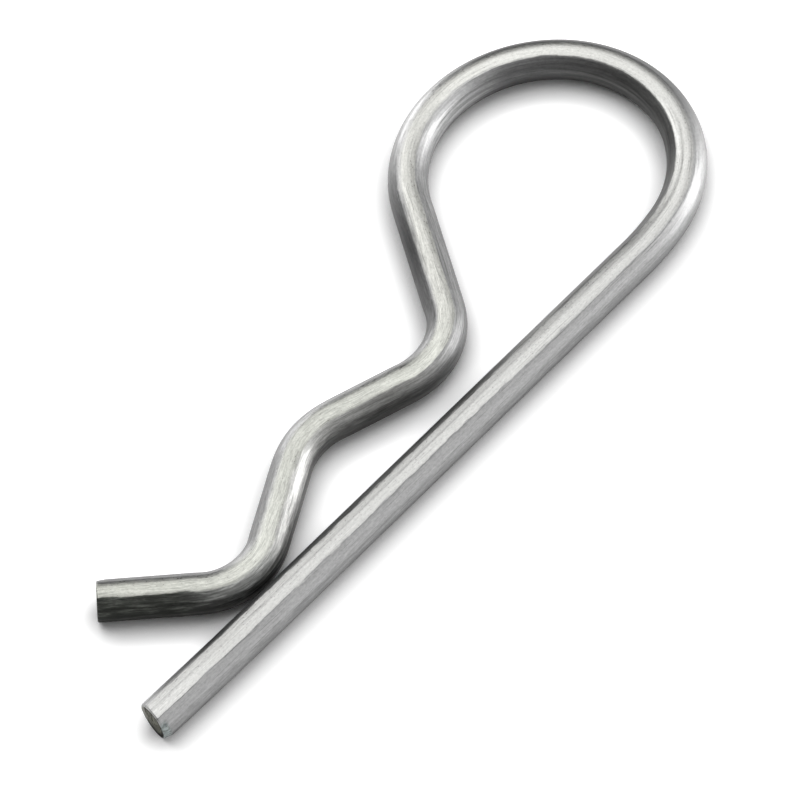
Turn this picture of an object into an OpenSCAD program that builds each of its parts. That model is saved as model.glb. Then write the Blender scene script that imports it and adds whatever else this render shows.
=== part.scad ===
// Hitch pin clip, also called an R clip: one length of round spring wire, bent flat.
// The straight leg goes through the cross hole of a shaft, and the wavy leg springs
// over the outside of the shaft and holds it in its seat. The eye is pulled by a finger.
// The clip lies flat on Z = 0 with its straight leg along X and its free end at -X.

/* [Wire] */
// Diameter of the wire
wire_d = 4.5; // [3:0.1:6]
// Bevel round the two sheared ends
end_bevel = 0.2; // [0.1:0.05:0.8]
// Loss of wire radius in a bend as tight as the wire's own radius, because cold bending stretches the wire
bend_thinning = 0.15; // [0.05:0.01:0.3]

/* [Straight leg] */
// Length from the free end to where the wire starts to turn
leg_l = 75; // [65:1:100]
// Radius of the wide bend that leads into the eye, on the wire's centre line
lead_r = 30; // [20:1:60]
// How far that wide bend turns, in degrees
lead_turn = 11.5; // [2:0.5:20]

/* [Eye] */
// Inner diameter of the eye
eye_d = 26; // [20:1:36]
// Slope of the wire where it leaves the eye and falls towards the straight leg, in degrees
fall_slope = 57; // [45:1:70]

/* [Neck] */
// Clear gap between the two legs at the neck
neck_gap = 3.6; // [2.5:0.1:4.5]
// Inner radius of the neck's bend
neck_r = 6; // [4:0.5:9]
// Slope of the wire from the neck up to the shaft seat, in degrees
rise_slope = 19; // [15:1:30]

/* [Shaft seat] */
// Diameter of the shaft that the clip locks
shaft_d = 19; // [18:0.5:24]
// Clearance between that shaft and the crest of the wavy leg
shaft_clearance = 0.15; // [0.05:0.05:0.5]
// Inner radius of the crest's bend
crest_r = 6.7; // [4:0.1:9]
// Slope of the wire from the crest down to the nose, in degrees
dip_slope = 29; // [22:1:40]

/* [Nose] */
// Clear gap between the two legs at the nose
nose_gap = 0.6; // [0.3:0.1:2]
// Inner radius of the nose's bend
nose_r = 4.9; // [3:0.1:8]
// Slope of the flared end that guides the shaft in, in degrees
flare_slope = 46.5; // [30:0.5:60]
// Length of the flared end, from the nose's bend to its tip
flare_l = 11; // [5:0.5:18]

/* [Hidden] */
$fn = 96;
zinc_colour = [0.80, 0.80, 0.78];

wire_r = wire_d / 2;

// Length by which a bend reaches into the straight wire beside it
tuck_l = 0.1;

// Radii of the bends on the wire's centre line
eye_line_r = eye_d / 2 + wire_r;
neck_line_r = neck_r + wire_r;
crest_line_r = crest_r + wire_r;
nose_line_r = nose_r + wire_r;

// Radius of the wire in a bend: the tighter the bend, the thinner the wire
function bent_r(line_r) = wire_r - bend_thinning * wire_r / line_r;

// Heights of the wavy leg's centre line above that of the straight leg
neck_height = wire_r + neck_gap + bent_r(neck_line_r);
crest_height = shaft_d / 2 + shaft_clearance + bent_r(crest_line_r);
nose_height = wire_r + nose_gap + bent_r(nose_line_r);

// Centre of the eye, seen from where the straight leg ends
eye_centre_x = (lead_r - eye_line_r) * sin(lead_turn);
eye_centre_y = lead_r - (lead_r - eye_line_r) * cos(lead_turn);

// How far a bend of radius r climbs while it turns from level to a slope
function climb(r, slope) = r * (1 - cos(slope));

// Straight wire left over between two heights, once the bends at both ends have had their share
function sloped_run(height, bends, slope) = (height - bends) / sin(slope);

fall_l = sloped_run(eye_centre_y + eye_line_r - neck_height,
                    climb(eye_line_r, fall_slope) + climb(neck_line_r, fall_slope), fall_slope);
rise_l = sloped_run(crest_height - neck_height,
                    climb(neck_line_r + crest_line_r, rise_slope), rise_slope);
dip_l = sloped_run(crest_height - nose_height,
                   climb(crest_line_r + nose_line_r, dip_slope), dip_slope);

// Outer corners of the whole clip, seen from the free end of the straight leg
right_edge = leg_l + eye_centre_x + eye_line_r + bent_r(eye_line_r);
top_edge = eye_centre_y + eye_line_r + bent_r(eye_line_r);
bottom_edge = -wire_r;

// A straight stretch of wire along +X; what follows starts at its far end
module run(length) {
    rotate([0, 90, 0])
        cylinder(h = length, r = wire_r);
    translate([length, 0, 0])
        children();
}

// A bend round a former, with its radius on the centre line; turn is + to the left, - to the right
module bend(line_r, turn) {
    centre_y = turn > 0 ? line_r : -line_r;
    tuck = tuck_l / line_r * 180 / PI;
    start = turn > 0 ? -90 : 90 + turn;
    translate([0, centre_y, 0]) {
        rotate_extrude(angle = abs(turn) + 2 * tuck, start = start - tuck)
            translate([line_r, 0])
                circle(r = bent_r(line_r));
        rotate([0, 0, turn])
            translate([0, -centre_y, 0])
                children();
    }
}

// The bevelled tip that the wire starts with
module first_tip() {
    rotate([0, 90, 0])
        cylinder(h = end_bevel, r1 = wire_r - end_bevel, r2 = wire_r);
    translate([end_bevel, 0, 0])
        children();
}

// The bevelled tip that the wire ends with
module last_tip() {
    rotate([0, 90, 0])
        cylinder(h = end_bevel, r1 = wire_r, r2 = wire_r - end_bevel);
}

// The wire as it is bent, from the free end of the straight leg to the tip of the flare
module bent_wire() {
    first_tip()
    run(leg_l - end_bevel)
    bend(lead_r, lead_turn)
    bend(eye_line_r, 180 - lead_turn + fall_slope)
    run(fall_l)
    bend(neck_line_r, -fall_slope - rise_slope)
    run(rise_l)
    bend(crest_line_r, rise_slope + dip_slope)
    run(dip_l)
    bend(nose_line_r, -dip_slope - flare_slope)
    run(flare_l - end_bevel)
    last_tip();
}

module clip() {
    color(zinc_colour)
        translate([-right_edge / 2, -(top_edge + bottom_edge) / 2, wire_r])
            bent_wire();
}

clip();
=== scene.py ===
# %% [markdown]
# # A hitch pin clip, dressed for its photograph
# The clip is one length of 4.5 mm spring wire, bent flat and zinc plated. It locks a shaft: the
# straight leg goes through the shaft's cross hole and the wavy leg springs over the outside.
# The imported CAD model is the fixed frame. This script gives the wire the look of the real thing.
# One modelling unit is a metre, so sizes are written in millimetres and multiplied by MM.

# %% Load the frame
import math
import bpy
from collections import namedtuple
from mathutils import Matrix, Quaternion, Vector


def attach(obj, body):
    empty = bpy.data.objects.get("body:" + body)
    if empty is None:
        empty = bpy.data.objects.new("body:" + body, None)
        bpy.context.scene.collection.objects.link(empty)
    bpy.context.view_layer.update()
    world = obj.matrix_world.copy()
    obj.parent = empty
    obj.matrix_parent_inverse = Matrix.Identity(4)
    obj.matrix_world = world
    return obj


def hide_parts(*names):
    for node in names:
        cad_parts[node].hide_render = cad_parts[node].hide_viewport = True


MM = 0.001

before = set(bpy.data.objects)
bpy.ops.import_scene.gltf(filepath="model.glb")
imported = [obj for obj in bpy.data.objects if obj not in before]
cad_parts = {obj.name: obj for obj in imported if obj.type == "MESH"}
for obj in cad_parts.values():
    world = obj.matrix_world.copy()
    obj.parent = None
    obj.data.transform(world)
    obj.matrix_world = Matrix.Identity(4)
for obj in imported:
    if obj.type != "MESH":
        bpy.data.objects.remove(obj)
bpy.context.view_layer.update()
print("CAD nodes:", sorted(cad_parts))

# %% [markdown]
# ## The camera
# The photograph looks down on the clip from a good way off, so the two legs keep nearly the same
# thickness from end to end. A long lens gives that. The place is kept as a point that the camera
# aims at, a distance and three angles, because a photographer would set up the shot that way.

# %% Camera
AIM = Vector((-2.04, -7.82, 2.25)) * MM
CAMERA_DISTANCE = 589.5 * MM
CAMERA_AZIMUTH = math.radians(37.11)
CAMERA_ELEVATION = math.radians(54.65)
CAMERA_ROLL = math.radians(-12.17)
LENS_MM = 250
SENSOR_MM = 36


def direction(azimuth, elevation):
    """Unit vector from the clip to a place in the studio; azimuth 0 is +Y and 90 degrees is +X."""
    flat = math.cos(elevation)
    return Vector((math.sin(azimuth) * flat, math.cos(azimuth) * flat, math.sin(elevation)))


def aimed(where, roll=0.0):
    """Rotation of a camera or lamp that stands in the direction `where` and looks at the clip."""
    return (-where).to_track_quat("-Z", "Y") @ Quaternion((0, 0, 1), roll)


to_camera = direction(CAMERA_AZIMUTH + math.pi, CAMERA_ELEVATION)
camera_data = bpy.data.cameras.new("photo_camera")
camera_data.lens = LENS_MM
camera_data.sensor_width = SENSOR_MM
camera = bpy.data.objects.new("photo_camera", camera_data)
camera.location = AIM + to_camera * CAMERA_DISTANCE
camera.rotation_mode = "QUATERNION"
camera.rotation_quaternion = aimed(to_camera, CAMERA_ROLL)
bpy.context.scene.collection.objects.link(camera)
bpy.context.scene.camera = camera
bpy.context.scene.view_settings.view_transform = "Standard"
print("camera at", [round(v / MM) for v in camera.location], "mm")

# %% [markdown]
# ## Small helpers for materials
# Colours are written as the sRGB hex values that a paint chart shows, and Blender's shaders want
# linear light, so one function converts them. Another adds a node, sets it up and links it, which
# keeps a material readable as a list of what it is made of. A Map Range node's sockets are given
# by number: 1 and 2 are the range that it reads, 3 and 4 the range that it gives, which is 0 to 1
# where they are left out.


# %% Colour and node helpers
def linear(hex_colour):
    """A colour such as "#e6e6df" as linear red, green, blue and alpha, by the sRGB standard."""
    channels = [int(hex_colour[i:i + 2], 16) / 255 for i in (1, 3, 5)]
    return [c / 12.92 if c <= 0.04045 else ((c + 0.055) / 1.055) ** 2.4 for c in channels] + [1.0]


def add_node(tree, kind, inputs=None, **settings):
    """Adds a node. `inputs` maps a socket's name or number to a value, or to what links there."""
    node = tree.nodes.new(kind)
    for name, value in settings.items():
        setattr(node, name, value)
    for name, value in (inputs or {}).items():
        if isinstance(value, bpy.types.Node):
            value = next(output for output in value.outputs if output.enabled)
        if isinstance(value, bpy.types.NodeSocket):
            tree.links.new(value, node.inputs[name])
        else:
            node.inputs[name].default_value = value
    return node


def emptied(owner):
    """Node tree of a new material or world, without the nodes that it comes with."""
    owner.use_nodes = True
    owner.node_tree.nodes.clear()
    return owner.node_tree


print("the sRGB grey #808080 is", round(linear("#808080")[0], 3), "in linear light")

# %% The names of the nodes used most
MATH = "ShaderNodeMath"
VECTOR = "ShaderNodeVectorMath"
RANGE = "ShaderNodeMapRange"
MIX = "ShaderNodeMix"
NOISE = "ShaderNodeTexNoise"
CAPTURE = "GeometryNodeCaptureAttribute"
STORE = "GeometryNodeStoreNamedAttribute"

# A noise texture gives nearly all of its values between these two
NOISE_LOW, NOISE_HIGH = 0.3, 0.7

# %% [markdown]
# ## The table
# The clip lies on a matt white table. The table is white by its own colour, with a little glow
# added for the camera and for reflections, so that only the shadow is grey. An Ambient Occlusion
# node finds where the wire is near and takes the glow away there, which gives the soft dark seam
# under the wire. Its normal leans towards the lamps, so the seam is wider on the side that they
# don't reach. The last step bends the fade so that it ends softly.

# %% Table top
TABLE_RADIUS = 1.6
TABLE_SIDES = 96
TABLE_COLOUR = "#f6f6f6"

bpy.ops.mesh.primitive_circle_add(vertices=TABLE_SIDES, radius=TABLE_RADIUS, fill_type="NGON")
floor = bpy.context.object
floor.name = "white_table"
table = bpy.data.materials.new("matt_white_table")
floor.data.materials.append(table)
print("table radius", TABLE_RADIUS, "m")

# %% Glow of the table
GLOW = 0.56
GLOW_COLOUR = "#ffffff"
GLOW_REACH = 3.5 * MM
GLOW_FROM = direction(math.radians(70), math.radians(68))
GLOW_SAMPLES = 4
GLOW_STARTS, GLOW_FULL = 0.68, 0.97

nodes = emptied(table)
rays = add_node(nodes, "ShaderNodeLightPath").outputs
seen = add_node(nodes, MATH, {0: rays["Is Camera Ray"], 1: rays["Is Glossy Ray"]}, operation="MAXIMUM")
seen = add_node(nodes, MATH, {0: seen, 1: rays["Is Transmission Ray"]}, operation="MAXIMUM")
leaning_up = add_node(nodes, "ShaderNodeCombineXYZ", {"X": GLOW_FROM.x, "Y": GLOW_FROM.y, "Z": GLOW_FROM.z})
around = add_node(nodes, "ShaderNodeAmbientOcclusion", {"Distance": GLOW_REACH, "Normal": leaning_up},
                  samples=GLOW_SAMPLES).outputs["AO"]
open_sky = add_node(nodes, RANGE, {"Value": around, 1: GLOW_STARTS, 2: GLOW_FULL})
still_closed = add_node(nodes, MATH, {0: 2.0, 1: open_sky}, operation="SUBTRACT")
open_sky = add_node(nodes, MATH, {0: open_sky, 1: still_closed}, operation="MULTIPLY")
glow = add_node(nodes, MATH, {0: seen, 1: open_sky}, operation="MULTIPLY")
glow = add_node(nodes, MATH, {0: glow, 1: GLOW}, operation="MULTIPLY")
matt = add_node(nodes, "ShaderNodeBsdfDiffuse", {"Color": linear(TABLE_COLOUR)})
lift = add_node(nodes, "ShaderNodeEmission", {"Color": linear(GLOW_COLOUR), "Strength": glow})
both = add_node(nodes, "ShaderNodeAddShader", {0: matt, 1: lift})
add_node(nodes, "ShaderNodeOutputMaterial", {"Surface": both})
print("the glow fades within", round(GLOW_REACH / MM, 1), "mm of the wire")

# %% [markdown]
# ## The room and the lamps
# A large soft box hangs over the clip, a bit behind, and makes the pale band along the top of the
# wire. A bright lamp level with the table on the right and a narrow one at the back put streaks
# on the bends that face them. A studio would stand a white card at the back, in the dark gap
# between the narrow lamp and the soft box, and a weak lamp does that work here. The room on the
# left is dim, which leaves the wire's left flanks dark and gives the metal its contrast.

# %% Room
ROOM_DARK = "#3a3a3a"
ROOM_LIGHT = "#f0f0f0"
ROOM_LIGHT_AZIMUTH = math.radians(145)
ROOM_TURNS_LIGHT = (-0.3, 0.75)
ROOM_STRENGTH = 1.15

world = bpy.data.worlds.new("dim_studio")
nodes = emptied(world)
looking = add_node(nodes, "ShaderNodeTexCoord").outputs["Generated"]
lit_side = direction(ROOM_LIGHT_AZIMUTH, 0)
towards = add_node(nodes, VECTOR, {0: looking, 1: lit_side}, operation="DOT_PRODUCT").outputs["Value"]
share = add_node(nodes, RANGE, {"Value": towards, 1: ROOM_TURNS_LIGHT[0], 2: ROOM_TURNS_LIGHT[1]},
                 interpolation_type="SMOOTHSTEP")
shade = add_node(nodes, MIX, {"Factor": share, "A": linear(ROOM_DARK), "B": linear(ROOM_LIGHT)},
                 data_type="RGBA")
room = add_node(nodes, "ShaderNodeBackground", {"Color": shade, "Strength": ROOM_STRENGTH})
add_node(nodes, "ShaderNodeOutputWorld", {"Surface": room})
bpy.context.scene.world = world
print("room brightness from", round(linear(ROOM_DARK)[0], 3), "to", round(linear(ROOM_LIGHT)[0], 3))


# %% Lamps
def soft_box(name, azimuth, elevation, distance, width, height, brightness):
    """A rectangular lamp that looks at the clip. A brightness of 1 is as bright as lit white paper."""
    light = bpy.data.lights.new(name, "AREA")
    light.shape = "RECTANGLE"
    light.size = width
    light.size_y = height
    light.energy = brightness * math.pi * width * height
    lamp = bpy.data.objects.new(name, light)
    where = direction(math.radians(azimuth), math.radians(elevation))
    lamp.location = where * distance
    lamp.rotation_mode = "QUATERNION"
    lamp.rotation_quaternion = aimed(where)
    bpy.context.scene.collection.objects.link(lamp)
    half_angle = math.degrees(math.atan(width / 2 / distance))
    print(f"{name}: {light.energy:.2f} W, {half_angle:.0f} degrees either side")


soft_box("overhead_soft_box", azimuth=20, elevation=70, distance=0.7,
         width=0.90, height=0.95, brightness=1.5)
soft_box("right_soft_box", azimuth=125, elevation=0, distance=0.6,
         width=0.28, height=0.30, brightness=13)
soft_box("back_strip", azimuth=14, elevation=6, distance=0.6,
         width=0.18, height=0.24, brightness=3.2)
soft_box("back_card", azimuth=2, elevation=35, distance=0.6,
         width=0.50, height=0.20, brightness=1.25)

# %% [markdown]
# ## The bent wire
# The real clip starts as straight drawn wire, and pins on a bending machine turn it one bend after
# another. The shape follows the same rule here: a list of straight stretches and bends, walked
# from the free end of the straight leg to the tip of the flare. The sizes are those of the CAD
# model. Where the wavy leg rises and falls, the straight stretches are what the heights leave over.
# Two sizes differ. The flare is a little longer before its slanted cut takes material away, and
# the skin is set in by a hundredth of a millimetre to stay inside the CAD model's box.

# %% Sizes of the clip, in mm and degrees
WIRE_D = 4.5
WIRE_R = WIRE_D / 2
BEND_THINNING = 0.15
LEG_L = 75
LEAD_R, LEAD_TURN = 30, 11.5
EYE_D = 26
NECK_R, CREST_R, NOSE_R = 6, 6.7, 4.9
EYE_LINE_R = EYE_D / 2 + WIRE_R
NECK_LINE_R = NECK_R + WIRE_R
CREST_LINE_R = CREST_R + WIRE_R
NOSE_LINE_R = NOSE_R + WIRE_R
FALL, RISE, DIP, FLARE = 57, 19, 29, 46.5
NECK_GAP, SEAT_RADIUS, NOSE_GAP = 3.6, 9.65, 0.6
FLARE_L = 11.45
SKIN_INSET = 0.01


def bent_radius(line_r):
    """The wire gets a little thinner in a bend, more so in a tight one."""
    return WIRE_R - BEND_THINNING * WIRE_R / line_r


def left_over(height, radii, slope):
    """Straight wire between two heights, once the bends at both ends have had their share."""
    turn = math.radians(slope)
    return (height - radii * (1 - math.cos(turn))) / math.sin(turn)


neck_height = WIRE_R + NECK_GAP + bent_radius(NECK_LINE_R)
crest_height = SEAT_RADIUS + bent_radius(CREST_LINE_R)
nose_height = WIRE_R + NOSE_GAP + bent_radius(NOSE_LINE_R)
eye_top = LEAD_R - (LEAD_R - EYE_LINE_R) * math.cos(math.radians(LEAD_TURN)) + EYE_LINE_R
print(f"crest {crest_height:.2f} mm and eye {eye_top:.2f} mm above the leg's centre line")

# %% The stretches from end to end
# Each is a length, a radius on the centre line (none where straight) and a turn to the left
STRETCHES = [
    (LEG_L, None, 0),
    (None, LEAD_R, LEAD_TURN),
    (None, EYE_LINE_R, 180 - LEAD_TURN + FALL),
    (left_over(eye_top - neck_height, EYE_LINE_R + NECK_LINE_R, FALL), None, 0),
    (None, NECK_LINE_R, -FALL - RISE),
    (left_over(crest_height - neck_height, NECK_LINE_R + CREST_LINE_R, RISE), None, 0),
    (None, CREST_LINE_R, RISE + DIP),
    (left_over(crest_height - nose_height, CREST_LINE_R + NOSE_LINE_R, DIP), None, 0),
    (None, NOSE_LINE_R, -DIP - FLARE),
    (FLARE_L, None, 0),
]
STRETCHES = [(length or radius * math.radians(abs(turn)), radius, turn)
             for length, radius, turn in STRETCHES]
WIRE_L = sum(length for length, radius, turn in STRETCHES)
print(f"{len(STRETCHES)} stretches, {WIRE_L:.1f} mm of wire")

# %% [markdown]
# The walk gives, for any distance along the wire, the place, the heading and the radius of the
# wire there. The stations are closer together in the bends and at the two ends, whose flat sheared
# face and rounded edge are a few more rings of the same sweep, shrinking to a point in the middle.

# %% Walking along the wire
EASE = 1.5
HAIR = 1e-9

Stretch = namedtuple("Stretch", "start length x y heading bend radius")


def walk():
    """Start place, heading, curvature and wire radius of every stretch."""
    x = y = heading = along = 0.0
    walked = []
    for length, radius, turn in STRETCHES:
        bend = math.copysign(1 / radius, turn) if radius else 0.0
        wire_r = bent_radius(radius) if radius else WIRE_R
        walked.append(Stretch(along, length, x, y, heading, bend, wire_r))
        if bend:
            swept = heading + math.radians(turn)
            x += (math.sin(swept) - math.sin(heading)) / bend
            y -= (math.cos(swept) - math.cos(heading)) / bend
            heading = swept
        else:
            x += length * math.cos(heading)
            y += length * math.sin(heading)
        along += length
    return walked


WALKED = walk()


def place(along):
    """Point on the centre line at a distance along the wire, seen from its free end."""
    on = [stretch for stretch in WALKED if stretch.start <= along + HAIR][-1]
    run = along - on.start
    if not on.bend:
        return on.x + run * math.cos(on.heading), on.y + run * math.sin(on.heading)
    swept = on.heading + run * on.bend
    ahead = (math.sin(swept) - math.sin(on.heading)) / on.bend
    aside = (math.cos(swept) - math.cos(on.heading)) / on.bend
    return on.x + ahead, on.y - aside


def blended(along, of_stretch):
    """A value that differs from stretch to stretch, eased over EASE mm at every joint."""
    total = weight = 0.0
    for stretch in WALKED:
        last = min(along + EASE / 2, stretch.start + stretch.length)
        inside = last - max(along - EASE / 2, stretch.start)
        if inside > 0:
            total += inside * of_stretch(stretch)
            weight += inside
    return total / weight


print("the flare points", round(math.degrees(WALKED[-1].heading)), "degrees round from the leg")

# %% Rings of a sheared end
FACE_SHARE = 0.92
FACE_DOME = 0.03
FACE_RINGS = 10
EDGE_ROUND = 0.2
EDGE_RINGS = 9


def end_rings():
    """Rings from the middle of a sheared face over its rounded edge: (distance, share of the radius)."""
    shares = [k / FACE_RINGS for k in range(FACE_RINGS)]
    found = [(FACE_DOME * share ** 2, FACE_SHARE * share) for share in shares]
    for k in range(EDGE_RINGS + 1):
        angle = math.pi / 2 * k / EDGE_RINGS
        distance = FACE_DOME + EDGE_ROUND * (1 - math.cos(angle))
        found.append((distance, FACE_SHARE + (1 - FACE_SHARE) * math.sin(angle)))
    return found


rings = end_rings()
tip = rings[-1][0]
print(f"{len(rings)} rings over the first {tip:.2f} mm of each end")

# %% Stations along the wire
STEP_STRAIGHT = 0.6
STEP_BEND = 0.4
STEP_LEAST = 0.1
BENT_ENOUGH = 0.02

stations = list(rings)
along = tip
while along < WIRE_L - tip - STEP_STRAIGHT:
    curvature = abs(blended(along, lambda stretch: stretch.bend))
    along += STEP_BEND if curvature > BENT_ENOUGH else STEP_STRAIGHT
    stations.append((along, 1.0))
if stations[-1][0] > WIRE_L - tip - STEP_LEAST:
    stations.pop()
stations += [(WIRE_L - distance, share) for distance, share in reversed(rings)]
print(f"{len(stations)} stations along the wire")

# %% Places of the stations
END_LEAN = 0.24
END_LEAN_REACH = 20


def leaning(along):
    """How far the free end of the straight leg leans inwards, as the photograph shows."""
    return END_LEAN * max(0.0, 1 - along / END_LEAN_REACH) ** 2


places = [place(min(max(along, 0.0), WIRE_L)) for along, share in stations]
places = [(x, y + leaning(along)) for (x, y), (along, share) in zip(places, stations)]
eye_centre_x = LEG_L + (LEAD_R - EYE_LINE_R) * math.sin(math.radians(LEAD_TURN))
right_edge = eye_centre_x + EYE_LINE_R + bent_radius(EYE_LINE_R)
top_edge = eye_top + bent_radius(EYE_LINE_R)
shift = Vector((-right_edge / 2, -(top_edge - WIRE_R) / 2, WIRE_R))
print(f"the clip reaches {right_edge:.1f} mm along its leg and {top_edge + WIRE_R:.1f} mm across")

# %% The path as a curve object
path_data = bpy.data.curves.new("wire_path", "CURVE")
path_data.dimensions = "3D"
spline = path_data.splines.new("POLY")
spline.points.add(len(stations) - 1)
for point, (x, y), (along, share) in zip(spline.points, places, stations):
    centre = (Vector((x, y, 0)) + shift) * MM
    point.co = (centre.x, centre.y, centre.z, 1)
    point.radius = share * blended(along, lambda stretch: stretch.radius) / WIRE_R
clip = bpy.data.objects.new("spring_wire_clip", path_data)
bpy.context.scene.collection.objects.link(clip)
print(f"{len(spline.points)} points on the path")

# %% [markdown]
# ## Sweeping the wire with Geometry Nodes
# The wire is the same round section all along, so a swept circle is the natural way to make it.
# The node tree sweeps the circle along the path and keeps, at each point, where that point was on
# the straight drawn wire before it was bent. The finish reads that place, so its drawing lines run
# with the wire round every bend. The rings that shrink to a point at both ends are merged there.
# The points round the wire are a multiple of its flats, so that every flat has an edge of its own.


# %% The node tree: its named inputs
def slant_towards(slope, side):
    """Slant of a cut, steepest towards a side: 0 degrees is the inner side and 90 the top."""
    steep = math.tan(math.radians(slope))
    return Vector((-math.cos(math.radians(side)), -math.sin(math.radians(side)), 0)) * steep


FLATS = 12
TREE_INPUTS = {
    "Wire path": ("NodeSocketGeometry", None),
    "Wire radius": ("NodeSocketFloat", (WIRE_R - SKIN_INSET) * MM),
    "Points round the wire": ("NodeSocketInt", 10 * FLATS),
    "Flats round the wire": ("NodeSocketFloat", float(FLATS)),
    "Depth of the flats": ("NodeSocketFloat", 0.05 * MM),
    "Depth of the flats past the leg": ("NodeSocketFloat", 0.028 * MM),
    "Length of the leg": ("NodeSocketFloat", LEG_L * MM),
    "Slant of the leg's cut": ("NodeSocketVector", slant_towards(slope=8.5, side=0)),
    "Slant of the flare's cut": ("NodeSocketVector", slant_towards(slope=8, side=66)),
    "Reach of the slants": ("NodeSocketFloat", 6.0 * MM),
    "Length of the pinches": ("NodeSocketFloat", 1.1 * MM),
    "Depth of the leg's pinch": ("NodeSocketFloat", 0.3 * MM),
    "Depth of the flare's pinch": ("NodeSocketFloat", 0.15 * MM),
    "Relief of the sheared face": ("NodeSocketFloat", 0.08 * MM),
    "Wire finish": ("NodeSocketMaterial", None),
    "Sheared finish": ("NodeSocketMaterial", None),
}

tree = bpy.data.node_groups.new("swept_wire", "GeometryNodeTree")
for name, (kind, value) in TREE_INPUTS.items():
    socket = tree.interface.new_socket(name, in_out="INPUT", socket_type=kind)
    if value is not None:
        socket.default_value = value
tree.interface.new_socket("Clip", in_out="OUTPUT", socket_type="NodeSocketGeometry")
given = add_node(tree, "NodeGroupInput").outputs
print("inputs of the tree:", ", ".join(TREE_INPUTS))

# %% What each point of the path and of the circle keeps
PATH_KEEPS = {
    "Along": ("FLOAT", "GeometryNodeSplineParameter", "Length"),
    "Share": ("FLOAT", "GeometryNodeInputRadius", "Radius"),
    "Heading": ("VECTOR", "GeometryNodeInputTangent", "Tangent"),
    "Centre": ("VECTOR", "GeometryNodeInputPosition", "Position"),
}

kept = add_node(tree, CAPTURE, {"Geometry": given["Wire path"]}, domain="POINT")
for name, (kind, source, output) in PATH_KEEPS.items():
    kept.capture_items.new(kind, name)
    tree.links.new(add_node(tree, source).outputs[output], kept.inputs[name])
path = kept.outputs

circle = add_node(tree, "GeometryNodeCurvePrimitiveCircle",
                  {"Resolution": given["Points round the wire"], "Radius": given["Wire radius"]},
                  mode="RADIUS")
kept = add_node(tree, CAPTURE, {"Geometry": circle.outputs["Curve"]}, domain="POINT")
kept.capture_items.new("VECTOR", "Round")
tree.links.new(add_node(tree, "GeometryNodeInputPosition").outputs["Position"], kept.inputs["Round"])
ring = kept.outputs
print("the path keeps:", ", ".join(PATH_KEEPS))

# %% The sweep, and where each point was on the straight wire
upright = add_node(tree, "GeometryNodeSetCurveNormal", {"Curve": path["Geometry"]}, mode="Z_UP")
swept = add_node(tree, "GeometryNodeCurveToMesh",
                 {"Curve": upright, "Profile Curve": ring["Geometry"], "Scale": path["Share"]})
section = add_node(tree, VECTOR, {0: ring["Round"], "Scale": path["Share"]}, operation="SCALE")
across = add_node(tree, "ShaderNodeSeparateXYZ", {0: section}).outputs
drawn = add_node(tree, "ShaderNodeCombineXYZ", {"X": across["X"], "Y": across["Y"], "Z": path["Along"]})
named = add_node(tree, STORE, {"Geometry": swept, "Name": "drawn", "Value": drawn},
                 data_type="FLOAT_VECTOR", domain="POINT")
named = add_node(tree, STORE, {"Geometry": named, "Name": "heading", "Value": path["Heading"]},
                 data_type="FLOAT_VECTOR", domain="POINT")
print(f"{len(tree.nodes)} nodes sweep the wire")

# %% [markdown]
# ## What the machines left on the section
# Straightening rollers leave faint flats along drawn wire, and their edges make the borders of its
# reflections crisp. Each flat is a shallow parabola between two edges, and a noise lets it fade in
# and out. All of this is real relief in the mesh, a few hundredths of a millimetre deep. Past the
# leg the flats are made shallower, because they show less there in the photograph.

# %% Flats along the wire
FLAT_PATCH_WIDTH = 1.8 * MM
FLAT_PATCH_LENGTH = 15 * MM
FLAT_LEAST = 0.35
FLATS_FADE_OVER = 8 * MM

angle = add_node(tree, MATH, {0: across["Y"], 1: across["X"]}, operation="ARCTAN2")
flats = add_node(tree, MATH, {0: given["Flats round the wire"], 1: math.tau}, operation="DIVIDE")
flat_place = add_node(tree, MATH, {0: angle, 1: flats}, operation="MULTIPLY")
in_flat = add_node(tree, MATH, {0: flat_place}, operation="FRACT")
off_middle = add_node(tree, RANGE, {"Value": in_flat, 3: -1.0, 4: 1.0})
squared = add_node(tree, MATH, {0: off_middle, 1: off_middle}, operation="MULTIPLY")
bow = add_node(tree, MATH, {0: 1.0, 1: squared}, operation="SUBTRACT")

patch_scale = (1 / FLAT_PATCH_WIDTH, 1 / FLAT_PATCH_WIDTH, 1 / FLAT_PATCH_LENGTH)
patch_place = add_node(tree, VECTOR, {0: drawn, 1: patch_scale}, operation="MULTIPLY")
patchy = add_node(tree, NOISE, {"Vector": patch_place, "Scale": 1.0, "Detail": 0.0})
worn = add_node(tree, RANGE, {"Value": patchy, 1: NOISE_LOW, 2: NOISE_HIGH, 3: FLAT_LEAST, 4: 1.0})
leg_end = add_node(tree, MATH, {0: given["Length of the leg"], 1: FLATS_FADE_OVER}, operation="ADD")
flat_depth = add_node(tree, RANGE, {
    "Value": path["Along"], 1: given["Length of the leg"], 2: leg_end,
    3: given["Depth of the flats"], 4: given["Depth of the flats past the leg"]})
worn = add_node(tree, MATH, {0: worn, 1: flat_depth}, operation="MULTIPLY")
inset = add_node(tree, MATH, {0: bow, 1: worn}, operation="MULTIPLY")
print(FLATS, "flats round the wire")

# %% [markdown]
# ## The two cut ends
# The wire is sheared to length. The cutter came a little askew: the leg's face slants towards the
# inner side and the flare's towards the top. It also pinched the outer side of both ends. The
# faces are torn into low ridges. All of this only takes material away.

# %% Slanted cuts
whole = add_node(tree, "GeometryNodeCurveLength", {0: given["Wire path"]})
to_far_end = add_node(tree, MATH, {0: whole, 1: path["Along"]}, operation="SUBTRACT")


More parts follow.
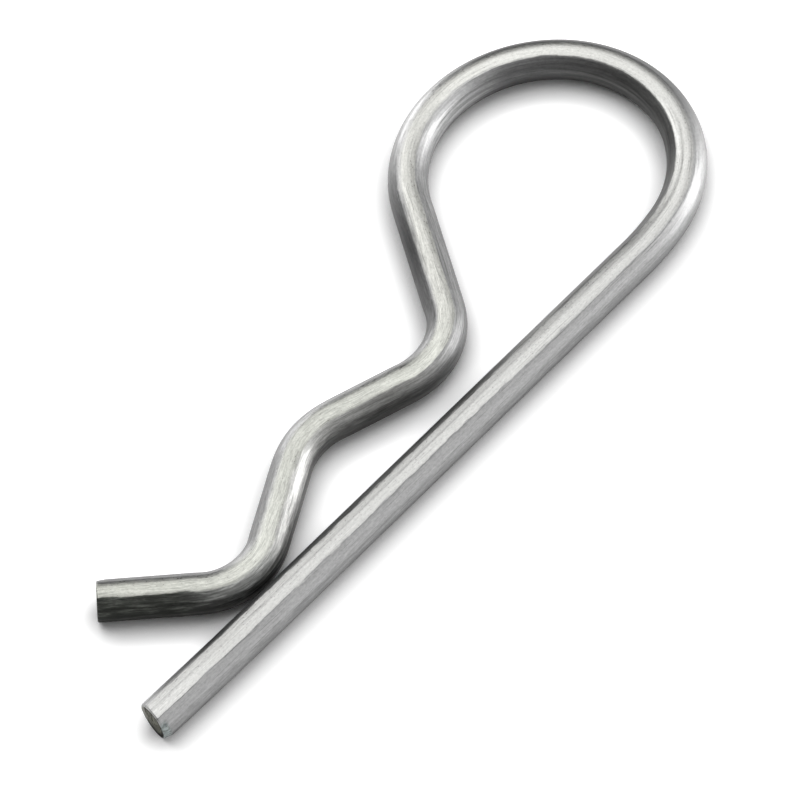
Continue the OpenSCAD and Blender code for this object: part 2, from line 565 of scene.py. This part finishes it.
def cut_back(distance, slope):
    """How far a slanted cut sets back each point near one end: nothing at the one that stands out most."""
    reach = add_node(tree, RANGE, {
        "Value": distance, 1: 0.0, 2: given["Reach of the slants"], 3: 1.0, 4: 0.0})
    steepness = add_node(tree, VECTOR, {0: slope}, operation="LENGTH").outputs["Value"]
    sloped = add_node(tree, VECTOR, {0: section, 1: slope}, operation="DOT_PRODUCT").outputs["Value"]
    set_back = add_node(tree, MATH, {0: steepness, 1: given["Wire radius"], 2: sloped},
                        operation="MULTIPLY_ADD")
    return add_node(tree, MATH, {0: set_back, 1: reach}, operation="MULTIPLY")


leg_cut = cut_back(path["Along"], given["Slant of the leg's cut"])
flare_cut = cut_back(to_far_end, given["Slant of the flare's cut"])
slant = add_node(tree, MATH, {0: leg_cut, 1: flare_cut}, operation="SUBTRACT")
print(f"{len(tree.nodes)} nodes with the flats and the slanted cuts")

# %% Pinches
PINCH_TOWARDS = math.radians(8)
PINCH_SPREAD = 0.35

leg_pinch = add_node(tree, RANGE, {
    "Value": path["Along"], 1: 0.0, 2: given["Length of the pinches"],
    3: given["Depth of the leg's pinch"], 4: 0.0}, interpolation_type="SMOOTHSTEP")
flare_pinch = add_node(tree, RANGE, {
    "Value": to_far_end, 1: 0.0, 2: given["Length of the pinches"],
    3: given["Depth of the flare's pinch"], 4: 0.0}, interpolation_type="SMOOTHSTEP")
pinched = add_node(tree, MATH, {0: leg_pinch, 1: flare_pinch}, operation="ADD")
towards = add_node(tree, MATH, {0: angle, 1: PINCH_TOWARDS}, operation="SUBTRACT")
towards = add_node(tree, MATH, {0: towards}, operation="COSINE")
towards = add_node(tree, RANGE, {"Value": towards, 1: PINCH_SPREAD, 2: 1.0},
                   interpolation_type="SMOOTHSTEP")
pinch = add_node(tree, MATH, {0: pinched, 1: towards, 2: inset}, operation="MULTIPLY_ADD")
print("both ends are pinched on their outer side")

# %% Torn faces
RIDGE_WIDTH = 0.25 * MM
RIDGE_LENGTH = 1.0 * MM
SHARE_SLACK = 0.01

on_face = add_node(tree, "FunctionNodeCompare", {"A": path["Share"], "B": FACE_SHARE - SHARE_SLACK},
                   operation="LESS_THAN", data_type="FLOAT")
ridge_scale = (1 / RIDGE_WIDTH, 1 / RIDGE_LENGTH, 1 / RIDGE_WIDTH)
torn = add_node(tree, VECTOR, {0: drawn, 1: ridge_scale}, operation="MULTIPLY")
torn = add_node(tree, NOISE, {"Vector": torn, "Scale": 1.0, "Detail": 3.0})
torn = add_node(tree, RANGE, {"Value": torn, 1: NOISE_LOW, 2: NOISE_HIGH})
torn = add_node(tree, MATH, {0: torn, 1: on_face}, operation="MULTIPLY")
inwards = add_node(tree, MATH, {0: to_far_end, 1: path["Along"]}, operation="SUBTRACT")
inwards = add_node(tree, MATH, {0: inwards}, operation="SIGN")
torn = add_node(tree, MATH, {0: torn, 1: inwards}, operation="MULTIPLY")
back = add_node(tree, MATH, {0: torn, 1: given["Relief of the sheared face"], 2: slant},
                operation="MULTIPLY_ADD")
print(f"ridges {RIDGE_WIDTH / MM} mm wide on the sheared faces")

# %% Moving the points and finishing the mesh
MERGE = 0.002 * MM

from_centre = add_node(tree, "GeometryNodeInputPosition")
from_centre = add_node(tree, VECTOR, {0: from_centre, 1: path["Centre"]}, operation="SUBTRACT")
keep = add_node(tree, MATH, {0: pinch, 1: given["Wire radius"]}, operation="DIVIDE")
keep = add_node(tree, MATH, {0: 1.0, 1: keep}, operation="SUBTRACT")
shrunk = add_node(tree, VECTOR, {0: from_centre, "Scale": keep}, operation="SCALE")
moved = add_node(tree, VECTOR, {0: path["Centre"], 1: shrunk}, operation="ADD")
pushed = add_node(tree, VECTOR, {0: path["Heading"], "Scale": back}, operation="SCALE")
moved = add_node(tree, VECTOR, {0: moved, 1: pushed}, operation="ADD")
shaped = add_node(tree, "GeometryNodeSetPosition", {"Geometry": named, "Position": moved})
merged = add_node(tree, "GeometryNodeMergeByDistance", {"Geometry": shaped, "Distance": MERGE})
smooth = add_node(tree, "GeometryNodeSetShadeSmooth", {"Geometry": merged})
real = add_node(tree, "GeometryNodeRealizeInstances", {"Geometry": smooth})
coated = add_node(tree, "GeometryNodeSetMaterial", {"Geometry": real, "Material": given["Wire finish"]})
cut = add_node(tree, "GeometryNodeSetMaterial",
               {"Geometry": coated, "Selection": on_face, "Material": given["Sheared finish"]})
add_node(tree, "NodeGroupOutput", {"Clip": cut})
print(f"{len(tree.nodes)} nodes in the tree")

# %% [markdown]
# ## The finish: bright zinc on drawn wire
# Drawn spring steel is pulled through a die, which scores fine lines along it, and is then zinc
# plated in a turning barrel. The zinc follows the lines and is finely mottled. Everything in this
# finish follows the place on the drawn wire: X points to the clip's outer side, Y down and Z along
# the wire. A pattern is a noise that is stretched along the wire by the real size of its marks.
# Real die lines and scratches are a few hundredths of a millimetre wide, which is too fine to
# show, so they are drawn a tenth of a millimetre wide, about one pixel of the picture.

# %% Places on the drawn wire
zinc = bpy.data.materials.new("bright_zinc_on_drawn_wire")
nodes = emptied(zinc)
drawn_place = add_node(nodes, "ShaderNodeAttribute", attribute_name="drawn").outputs["Vector"]
heading_on = add_node(nodes, "ShaderNodeAttribute", attribute_name="heading").outputs["Vector"]
place_in = add_node(nodes, "ShaderNodeSeparateXYZ", {0: drawn_place}).outputs
print("the zinc reads the attributes drawn and heading")


# %% Patterns that lie along the wire
def streaks(width, length, detail=2.0, roughness=0.5):
    """A pattern from 0 to 1 of marks that lie along the wire, from their width and length in mm."""
    scale = (1 / (width * MM), 1 / (width * MM), 1 / (length * MM))
    spot = add_node(nodes, VECTOR, {0: drawn_place, 1: scale}, operation="MULTIPLY")
    return add_node(nodes, NOISE, {"Vector": spot, "Scale": 1.0, "Detail": detail, "Roughness": roughness})


die_lines = streaks(width=0.11, length=16, detail=3.0)
broad_lines = streaks(width=0.5, length=32, detail=1.0)
bare_streaks = streaks(width=0.32, length=9, detail=3.0, roughness=0.6)
scratches = streaks(width=0.1, length=6, detail=1.0)
ragged = streaks(width=0.3, length=2.2, detail=3.0, roughness=0.6)
nicks = streaks(width=0.14, length=1.5, detail=3.0, roughness=0.7)
mottle = streaks(width=0.2, length=0.36, detail=3.0, roughness=0.6)
print(f"{len(nodes.nodes)} nodes make the patterns")

# %% How far each point is to one side, with a border that wanders
BORDER_WANDER = 0.05

wander = add_node(nodes, RANGE, {"Value": broad_lines, 1: NOISE_LOW, 2: NOISE_HIGH,
                                 3: -BORDER_WANDER, 4: BORDER_WANDER}, clamp=False)
fray = add_node(nodes, RANGE, {"Value": ragged, 1: NOISE_LOW, 2: NOISE_HIGH,
                               3: -BORDER_WANDER, 4: BORDER_WANDER}, clamp=False)
wander = add_node(nodes, MATH, {0: wander, 1: fray}, operation="ADD")
sideways = add_node(nodes, MATH, {0: place_in["X"], 1: 1 / (WIRE_R * MM), 2: wander},
                    operation="MULTIPLY_ADD")
print("sideways runs from -1 on the inner side to 1 on the outer side")

# %% [markdown]
# ## Three tones of zinc, with painted light and shade
# The photograph shows a bright band with crisp borders along the top, and a darker, uneven inner
# side. Three colour ramps along the wire hold the tones of the top, the inner and the outer side.
# Much of the difference between them is painted light: the pale top is partly a painted highlight
# of the overhead soft box, the dark inner flank and the dark stretches of the outer flank are
# painted shade for dim reflections of the table and the room, the darkest stretch of the leg's
# inner side is painted shade where the nose comes close, and the pale stops on the bends are
# painted highlights of the lamps. The rest is tone that differs along the wire. Their stops were
# set by comparing the render's brightness with the photograph's stretch by stretch.

# %% Colours of the zinc with painted light and shade: distance from the free end in mm, and tone
TOP_ZINC_AND_PAINTED_LIGHT = [
    (0, "#bcbcba"), (12, "#b0b0ae"), (75, "#b2b2b0"), (87, "#c6c6c3"), (117, "#c2c2be"),
    (131, "#b6b6b2"), (151, "#bcbcb7"), (166, "#b0b1ab"), (183, "#acada7"), (191, "#b2b3ad"),
    (WIRE_L, "#b0b1aa"),
]
INNER_ZINC_AND_PAINTED_LIGHT = [
    (0, "#a8a8a8"), (5.5, "#7c7c7c"), (11, "#4c4c4c"), (21, "#4c4c4c"), (49, "#565655"),
    (61, "#828281"), (73, "#808080"), (91, "#686867"), (101, "#646463"), (117, "#727272"),
    (127, "#bcbcbc"), (139, "#a4a4a4"), (148, "#949494"), (158, "#a0a0a0"), (169, "#7c7c7a"),
    (177, "#9c9c9a"), (185, "#c6c6c4"), (191, "#a6a6a4"), (198, "#8c8d8b"), (205, "#4e504c"),
    (WIRE_L, "#4a4c48"),
]
OUTER_ZINC_AND_PAINTED_LIGHT = [
    (0, "#a2a2a2"), (79, "#a2a2a2"), (89, "#b2b2b2"), (99, "#828282"), (117, "#707070"),
    (129, "#d2d2d2"), (147, "#666666"), (158, "#909090"), (167, "#a6a6a6"), (180, "#b0b0b0"),
    (190, "#a4a4a4"), (WIRE_L, "#949494"),
]


def zinc_along(tones):
    """Colour that changes along the wire, from (mm from the free end, colour) pairs."""
    far = add_node(nodes, MATH, {0: place_in["Z"], 1: WIRE_L * MM}, operation="DIVIDE")
    ramp = add_node(nodes, "ShaderNodeValToRGB", {"Fac": far})
    ramp.color_ramp.interpolation = "EASE"
    stops = ramp.color_ramp.elements
    while len(stops) < len(tones):
        stops.new(0.5)
    for stop, (distance, tone) in zip(stops, tones):
        stop.position = distance / WIRE_L
    for stop, (distance, tone) in zip(stops, tones):
        stop.color = linear(tone)
    return ramp.outputs["Color"]


# zinc tones with painted highlights and painted shade in them
top_zinc_and_painted_light = zinc_along(TOP_ZINC_AND_PAINTED_LIGHT)
inner_zinc_and_painted_light = zinc_along(INNER_ZINC_AND_PAINTED_LIGHT)
outer_zinc_and_painted_light = zinc_along(OUTER_ZINC_AND_PAINTED_LIGHT)
print(len(TOP_ZINC_AND_PAINTED_LIGHT), "tones on top,", len(INNER_ZINC_AND_PAINTED_LIGHT), "inside and", len(OUTER_ZINC_AND_PAINTED_LIGHT), "outside")

# %% What changes along the wire: from and to in mm, then its value before and after
CHANGES = {
    # the straight leg gives way to the bent wire, whose bright band has softer borders
    "bent": (72, 95, 0.0, 1.0),
    # past the eye the outer flank is darker, a painted shade that dims its reflection of the table
    "outer flank": (108, 118, 1.0, 0.68),
    # painted shade: the innermost rim is darker, and darker still towards the flare
    "inner rim": (160, 172, 0.6, 0.28),
    # nicks get deeper and brighter on the wavy leg
    "nick low": (120, 160, 0.93, 0.80),
    "nick high": (120, 160, 1.04, 1.20),
    # the painted dark line on top drifts inwards as the wire enters the eye, and then fades
    "top seam": (60, 86, -0.03, -0.20),
    "top seam fades": (90, 102, 0.0, 1.0),
    # pale blotches on the dark inner side of the flare
    "blotches": (188, 198, 1.0, 2.0),
}

change = {}
for name, (start, end, before, after) in CHANGES.items():
    change[name] = add_node(nodes, RANGE, {
        "Value": place_in["Z"], 1: start * MM, 2: end * MM, 3: before, 4: after})
print("changes along the wire:", ", ".join(CHANGES))

# %% Borders between the three tones
# Where each border starts and ends, as a share of the wire's radius
LEG_INNER_BORDER = (-0.37, -0.45)
BENT_INNER_BORDER = (-0.40, -0.48)
LEG_OUTER_BORDER = (0.44, 0.47)
BENT_OUTER_BORDER = (0.20, 0.45)
FLANK_BORDER = (0.4, 0.7)

bent = change["bent"]
inner_starts = add_node(nodes, RANGE, {"Value": bent, 3: LEG_INNER_BORDER[0], 4: BENT_INNER_BORDER[0]})
inner_ends = add_node(nodes, RANGE, {"Value": bent, 3: LEG_INNER_BORDER[1], 4: BENT_INNER_BORDER[1]})
outer_starts = add_node(nodes, RANGE, {"Value": bent, 3: LEG_OUTER_BORDER[0], 4: BENT_OUTER_BORDER[0]})
outer_ends = add_node(nodes, RANGE, {"Value": bent, 3: LEG_OUTER_BORDER[1], 4: BENT_OUTER_BORDER[1]})
inner = add_node(nodes, RANGE, {"Value": sideways, 1: inner_starts, 2: inner_ends})
outer = add_node(nodes, RANGE, {"Value": sideways, 1: outer_starts, 2: outer_ends})
colour = add_node(nodes, MIX, {"Factor": inner, "A": top_zinc_and_painted_light, "B": inner_zinc_and_painted_light}, data_type="RGBA")
colour = add_node(nodes, MIX, {"Factor": outer, "A": colour, "B": outer_zinc_and_painted_light}, data_type="RGBA")
flank = add_node(nodes, MATH, {0: sideways}, operation="ABSOLUTE")
flank = add_node(nodes, RANGE, {"Value": flank, 1: FLANK_BORDER[0], 2: FLANK_BORDER[1]})
print("the bright band on the leg ends at", LEG_INNER_BORDER[0], "and", LEG_OUTER_BORDER[0])

# %% [markdown]
# ## Marks in the zinc
# Each mark brightens or darkens the tone below it a little, so the marks are multiplied together.
# The die lines, broad lines and mottling are everywhere, the bare streaks only on the inner side.
# The darker rims of both flanks and the darker outer flank past the eye are painted shade, and so
# is the darkening below the wire's middle, which stands in for the dark reflection of the table in
# the wire's own shadow. Two thin painted dark lines run along the leg where flats meet; they stand
# in for dark reflections at the flats' edges.

# %% Tones of the marks
# The noise from which and to which a mark changes, then the tone at both
MARKS = {
    "die lines": (die_lines, 0.35, 0.65, 0.95, 1.03),
    "broad lines": (broad_lines, NOISE_LOW, NOISE_HIGH, 0.96, 1.03),
    "bare streaks": (bare_streaks, 0.36, 0.64, 0.78, 1.18),
    "scratches": (scratches, 0.64, 0.72, 1.0, 0.7),
    "mottling": (mottle, NOISE_LOW, NOISE_HIGH, 0.85, 1.12),
    "nicks": (nicks, 0.36, 0.62, change["nick low"], change["nick high"]),
    "blotches": (ragged, 0.48, 0.68, 1.0, change["blotches"]),
    # the next four marks are painted shade: darker rims, a darker outer flank past the eye and a darker
    # underside
    "outer rim": (sideways, 0.85, 1.0, 1.0, 0.62),
    "outer flank": (sideways, 0.5, 0.8, 1.0, change["outer flank"]),
    "inner rim": (sideways, -0.78, -0.98, 1.0, change["inner rim"]),
    "underside": (place_in["Y"], 0.05 * WIRE_R * MM, 0.42 * WIRE_R * MM, 1.0, 0.36),
}

mark = {}
for name, (pattern, low, high, tone_low, tone_high) in MARKS.items():
    mark[name] = add_node(nodes, RANGE, {"Value": pattern, 1: low, 2: high, 3: tone_low, 4: tone_high})
mark["broad lines"] = add_node(nodes, MIX, {
    "Factor": inner, "A": mark["broad lines"], "B": mark.pop("bare streaks")}, data_type="FLOAT")
mark["blotches"] = add_node(nodes, MIX, {
    "Factor": inner, "A": 1.0, "B": mark["blotches"]}, data_type="FLOAT")
print("marks:", ", ".join(MARKS))


# %% Painted dark lines along the leg, and all marks together
def seam(where, edges, lines, depths, fade):
    """A thin painted dark line along the wire, for a dark reflection at a flat's edge. Its depth follows
    the broad lines, and it ends where `fade` is 1.
    """
    off = add_node(nodes, MATH, {0: sideways, 1: where}, operation="SUBTRACT")
    off = add_node(nodes, MATH, {0: off}, operation="ABSOLUTE")
    depth = add_node(nodes, RANGE, {
        "Value": broad_lines, 1: lines[0], 2: lines[1], 3: depths[0], 4: depths[1]})
    dark = add_node(nodes, RANGE, {"Value": off, 1: edges[0], 2: edges[1], 3: depth, 4: 1.0})
    return add_node(nodes, MIX, {"Factor": fade, "A": dark, "B": 1.0}, data_type="FLOAT")


# painted dark lines that stand in for reflections at the edges of the flats
mark["side seam"] = seam(where=0.5, edges=(0.015, 0.045), lines=(0.4, 0.6), depths=(0.95, 0.5), fade=bent)
mark["top seam"] = seam(where=change["top seam"], edges=(0.03, 0.12), lines=(0.3, 0.6),
                        depths=(0.66, 0.95), fade=change["top seam fades"])

tone = 1.0
for part in mark.values():
    tone = add_node(nodes, MATH, {0: tone, 1: part}, operation="MULTIPLY")
colour = add_node(nodes, VECTOR, {0: colour, "Scale": tone}, operation="SCALE")
print(len(mark), "marks multiplied")

# %% [markdown]
# ## The crimped corner
# The cutter's jaw pressed the outer corner of the leg's end and left a small patch of greyer,
# spotted zinc there.

# %% The crimped corner of the leg
CRIMP_ZINC = "#969d9c"
CRIMP_DARK = "#686e6d"
CRIMP_ALONG = (0.6 * MM, 1.0 * MM)
CRIMP_SIDE = (0.66 * WIRE_R * MM, 0.8 * WIRE_R * MM)
CRIMP_SPOTS = (0.4, 0.6)

crimp_along = add_node(nodes, RANGE, {
    "Value": place_in["Z"], 1: CRIMP_ALONG[0], 2: CRIMP_ALONG[1], 3: 1.0, 4: 0.0})
crimp_side = add_node(nodes, RANGE, {"Value": place_in["X"], 1: CRIMP_SIDE[0], 2: CRIMP_SIDE[1]})
crimped = add_node(nodes, MATH, {0: crimp_along, 1: crimp_side}, operation="MULTIPLY")
crimp_spots = add_node(nodes, RANGE, {"Value": mottle, 1: CRIMP_SPOTS[0], 2: CRIMP_SPOTS[1]})
crimp_colour = add_node(nodes, MIX, {
    "Factor": crimp_spots, "A": linear(CRIMP_DARK), "B": linear(CRIMP_ZINC)}, data_type="RGBA")
colour = add_node(nodes, MIX, {"Factor": crimped, "A": colour, "B": crimp_colour}, data_type="RGBA")
print(f"the crimp reaches {CRIMP_ALONG[1] / MM:.1f} mm from the end")

# %% [markdown]
# ## Gloss of the zinc
# Bright zinc is a metal, so its colour tints its reflections. It is fairly glossy where it was
# rubbed and duller on the flanks. The die lines spread each reflection across the wire, which the
# shader's anisotropy gives, with its tangent along the wire, and a low bump adds their grain.

# %% Gloss and relief of the zinc
SMOOTH, ROUGH = 0.26, 0.38
FLANK_ROUGHNESS = 0.2
MOTTLE_IN_RELIEF = 0.6
RELIEF_DEPTH = 0.008 * MM
SPREAD = 0.4
QUARTER_TURN = 0.25

rough = add_node(nodes, RANGE, {"Value": mottle, 1: NOISE_LOW, 2: NOISE_HIGH, 3: SMOOTH, 4: ROUGH})
rough = add_node(nodes, MATH, {0: flank, 1: FLANK_ROUGHNESS, 2: rough}, operation="MULTIPLY_ADD")
height = add_node(nodes, MIX, {"Factor": MOTTLE_IN_RELIEF, "A": die_lines, "B": mottle}, data_type="FLOAT")
relief = add_node(nodes, "ShaderNodeBump", {"Strength": 1.0, "Distance": RELIEF_DEPTH, "Height": height})
steel = add_node(nodes, "ShaderNodeBsdfPrincipled", {
    "Base Color": colour, "Metallic": 1.0, "Roughness": rough, "Anisotropic": SPREAD,
    "Anisotropic Rotation": QUARTER_TURN, "Tangent": heading_on, "Normal": relief})
add_node(nodes, "ShaderNodeOutputMaterial", {"Surface": steel})
print(f"zinc: {len(nodes.nodes)} nodes")

# %% [markdown]
# ## The finish: sheared spring steel
# The cutter leaves bare steel on the two faces: dark where it tore, pale on the ridges between,
# and burnished along the inner rim, where the blade went in. The rim that it rolled over is nearly
# black. A metal's edge-on reflections are white, which would hide the dark parts at a low angle,
# so a grey specular tint holds them back.

# %% Tears of the sheared face
TEAR_WIDTH = 0.16 * MM
TEAR_LENGTH = 1.1 * MM
TEAR_DEPTH = 1.0 * MM
TEAR_SHOWS = (0.44, 0.58)
SHEARED_STEEL = "#8a8a7e"
SHEARED_DARK = "#2a2924"

sheared = bpy.data.materials.new("sheared_spring_steel")
nodes = emptied(sheared)
drawn_place = add_node(nodes, "ShaderNodeAttribute", attribute_name="drawn").outputs["Vector"]
tear_scale = (1 / TEAR_WIDTH, 1 / TEAR_LENGTH, 1 / TEAR_DEPTH)
tear = add_node(nodes, VECTOR, {0: drawn_place, 1: tear_scale}, operation="MULTIPLY")
tear = add_node(nodes, NOISE, {"Vector": tear, "Scale": 1.0, "Detail": 3.0, "Roughness": 0.65})
torn_share = add_node(nodes, RANGE, {"Value": tear, 1: TEAR_SHOWS[0], 2: TEAR_SHOWS[1]})
face_colour = add_node(nodes, MIX, {
    "Factor": torn_share, "A": linear(SHEARED_DARK), "B": linear(SHEARED_STEEL)}, data_type="RGBA")
print(f"tears {TEAR_WIDTH / MM:.2f} mm wide")

# %% Rims of the sheared face, and its gloss
DARK_RIM = (1.45 * MM, 1.75 * MM)
DARK_RIM_TONE = 0.12
BURNISHED = (-1.55 * MM, -1.3 * MM)
SHEARED_RIM = "#8c8c86"
SHEARED_ROUGHNESS = 0.42
SHEARED_TINT = "#c4c4c4"
TEAR_RELIEF = 0.03 * MM
TEAR_STRENGTH = 0.6

apart = add_node(nodes, "ShaderNodeSeparateXYZ", {0: drawn_place}).outputs
on_section = add_node(nodes, "ShaderNodeCombineXYZ", {"X": apart["X"], "Y": apart["Y"]})
outwards = add_node(nodes, VECTOR, {0: on_section}, operation="LENGTH").outputs["Value"]
outwards = add_node(nodes, RANGE, {
    "Value": outwards, 1: DARK_RIM[0], 2: DARK_RIM[1], 3: 1.0, 4: DARK_RIM_TONE})
face_colour = add_node(nodes, VECTOR, {0: face_colour, "Scale": outwards}, operation="SCALE")
burnish = add_node(nodes, RANGE, {"Value": apart["X"], 1: BURNISHED[0], 2: BURNISHED[1], 3: 1.0, 4: 0.0})
face_colour = add_node(nodes, MIX, {
    "Factor": burnish, "A": face_colour, "B": linear(SHEARED_RIM)}, data_type="RGBA")
face_relief = add_node(nodes, "ShaderNodeBump", {
    "Strength": TEAR_STRENGTH, "Distance": TEAR_RELIEF, "Height": tear})
steel = add_node(nodes, "ShaderNodeBsdfPrincipled", {
    "Base Color": face_colour, "Metallic": 1.0, "Roughness": SHEARED_ROUGHNESS,
    "Specular Tint": linear(SHEARED_TINT), "Normal": face_relief})
add_node(nodes, "ShaderNodeOutputMaterial", {"Surface": steel})
print(f"sheared steel: {len(nodes.nodes)} nodes")

# %% [markdown]
# ## From the node tree to a plain mesh
# The frame wants a finished mesh, so the evaluated result replaces the path object.

# %% Making the clip a mesh
modifier = clip.modifiers.new("sweep", "NODES")
modifier.node_group = tree
socket_of = {item.name: item.identifier for item in tree.interface.items_tree if item.in_out == "INPUT"}
modifier[socket_of["Wire finish"]] = zinc
modifier[socket_of["Sheared finish"]] = sheared
graph = bpy.context.evaluated_depsgraph_get()
skin = bpy.data.meshes.new_from_object(
    clip.evaluated_get(graph), preserve_all_data_layers=True, depsgraph=graph)
bpy.data.objects.remove(clip)
clip = bpy.data.objects.new("spring_wire_clip", skin)
bpy.context.scene.collection.objects.link(clip)
print(f"{len(skin.vertices)} vertices, {sum(len(p.vertices) - 2 for p in skin.polygons)} triangles")
print("attributes:", [a.name for a in skin.attributes], "materials:", [m.name for m in skin.materials])

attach(clip, "root")
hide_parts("clip")
